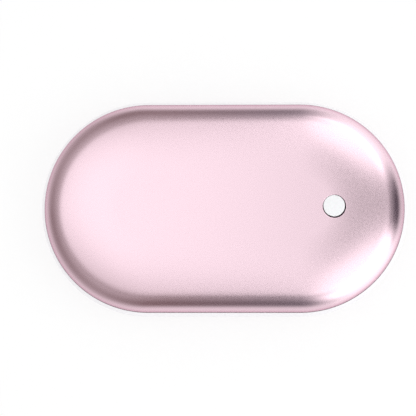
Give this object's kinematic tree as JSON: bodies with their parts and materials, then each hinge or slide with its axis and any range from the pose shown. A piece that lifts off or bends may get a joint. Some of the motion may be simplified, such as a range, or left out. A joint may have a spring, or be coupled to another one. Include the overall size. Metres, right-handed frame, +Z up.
{
  "type": "rechargeable hand warmer",
  "caption": "Pebble-shaped rechargeable hand warmer: two domed satin aluminium shells on a white belt, with a round power button and a charging socket.",
  "frame": {"origin": "middle of the flat land on the underside, where the body rests on a table", "axes": "+X along the body to the end with the button and the charging socket, +Y across, +Z up out of the side with the button"},
  "size_m": [0.1016, 0.06, 0.0241],
  "materials": {
    "shell_anodised": "bead-blasted and anodised rose pink, satin",
    "belt_plastic": "moulded white, soft gloss",
    "button_plastic": "moulded milky white, slightly translucent",
    "liner_plastic": "moulded natural white",
    "heater_film": "amber polyimide",
    "heater_foil": "etched foil",
    "foam": "closed cell foam, dark grey",
    "sensor_glass": "sealed glass bead",
    "pouch_foil": "laminated foil, satin silver",
    "plated_metal": "plated sheet",
    "board_laminate": "green solder mask",
    "chip_black": "moulded black package",
    "lead_red": "silicone insulation, red",
    "lead_black": "silicone insulation, black",
    "lead_white": "insulation, white",
    "lead_yellow": "insulation, yellow",
    "screw_steel": "zinc plated steel",
    "socket_plastic": "moulded black",
    "contact_gold": "gold plated contacts",
    "led_body": "lamp package, pale",
    "ferrite": "ferrite core",
    "ceramic": "ceramic chip capacitor"
  },
  "bodies": {
    "housing": {"top_shell": "shell_anodised", "bottom_shell": "shell_anodised", "mid_frame": "belt_plastic", "top_liner": "liner_plastic", "bottom_liner": "liner_plastic", "top_heater_film": "heater_film", "bottom_heater_film": "heater_film", "top_heater_track": "heater_foil", "bottom_heater_track": "heater_foil", "top_insulation": "foam", "bottom_insulation": "foam", "top_thermistor": "sensor_glass", "bottom_thermistor": "sensor_glass", "battery_cell": "pouch_foil", "battery_tabs": "plated_metal", "protection_board": "board_laminate", "protection_chips": "chip_black", "battery_lead_red": "lead_red", "battery_lead_black": "lead_black", "main_board": "board_laminate", "board_screws": "screw_steel", "usb_c_shell": "plated_metal", "usb_c_tongue": "socket_plastic", "usb_c_contacts": "contact_gold", "switch_base": "socket_plastic", "switch_cover": "plated_metal", "switch_dome": "plated_metal", "switch_terminals": "plated_metal", "indicator_leds": "led_body", "charge_chip": "chip_black", "charge_chip_pins": "plated_metal", "heater_mosfets": "chip_black", "power_inductor": "ferrite", "capacitors": "ceramic", "chip_resistors": "chip_black", "top_heater_leads": "lead_white", "bottom_heater_leads": "lead_white", "thermistor_leads": "lead_yellow"},
    "button": {"power_button": "button_plastic", "switch_stem": "socket_plastic"}
  },
  "joints": [
    {"name": "button_press", "type": "slide", "parent": "housing", "child": "button", "axis": [0, 0, -1], "range_m": [0, 0.00025], "stiffness_N_per_m": 1000, "springref_m": -0.0003, "deforming": ["switch_dome"]}
  ]
}
